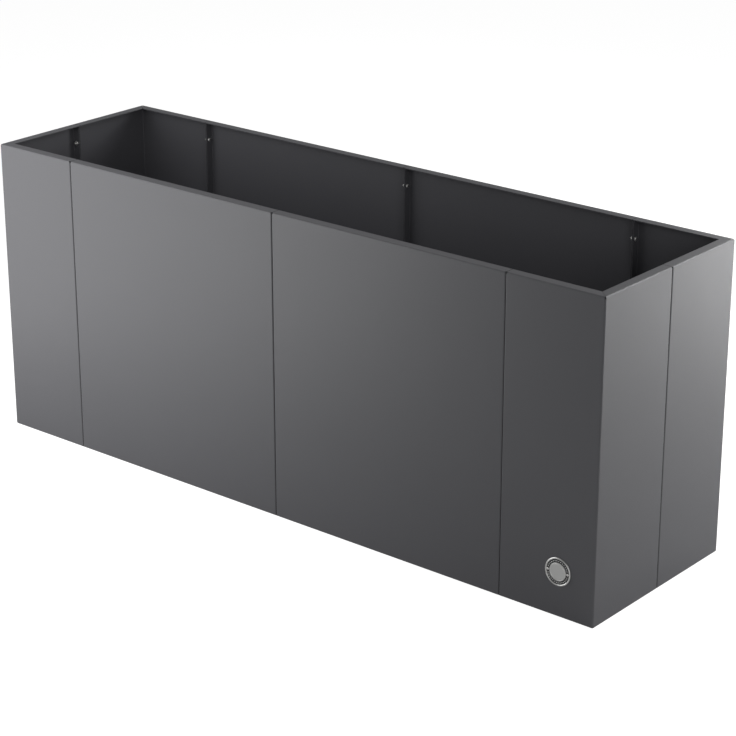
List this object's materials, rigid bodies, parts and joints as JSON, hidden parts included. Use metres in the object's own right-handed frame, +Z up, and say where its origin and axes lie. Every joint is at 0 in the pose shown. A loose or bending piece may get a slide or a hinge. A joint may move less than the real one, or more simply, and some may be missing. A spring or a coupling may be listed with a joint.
{
  "type": "raised garden bed",
  "caption": "Waist-high rectangular raised bed of folded, powder-coated sheet elements bolted together inside, with an inward rim and an open bottom.",
  "frame": {"origin": "centre of the bed's footprint, on the ground", "axes": "+X along the length towards the badge plate's end, +Y from the front to the back, +Z up"},
  "size_m": [1.81, 0.503, 0.75],
  "materials": {
    "powder_coat": "satin anthracite powder coat",
    "stainless": "satin stainless steel",
    "badge_steel": "turned stainless steel"
  },
  "bodies": {
    "root": {"corner_front_left": "powder_coat", "corner_front_right": "powder_coat", "corner_back_right": "powder_coat", "corner_back_left": "powder_coat", "panel_front_left": "powder_coat", "panel_front_right": "powder_coat", "panel_back_right": "powder_coat", "panel_back_left": "powder_coat", "seam_front_left_screws": "stainless", "seam_front_left_nuts": "stainless", "seam_front_middle_screws": "stainless", "seam_front_middle_nuts": "stainless", "seam_front_right_screws": "stainless", "seam_front_right_nuts": "stainless", "seam_right_end_screws": "stainless", "seam_right_end_nuts": "stainless", "seam_back_right_screws": "stainless", "seam_back_right_nuts": "stainless", "seam_back_middle_screws": "stainless", "seam_back_middle_nuts": "stainless", "seam_back_left_screws": "stainless", "seam_back_left_nuts": "stainless", "seam_left_end_screws": "stainless", "seam_left_end_nuts": "stainless", "badge_rivets": "stainless", "badge_plate": "badge_steel"}
  },
  "joints": []
}
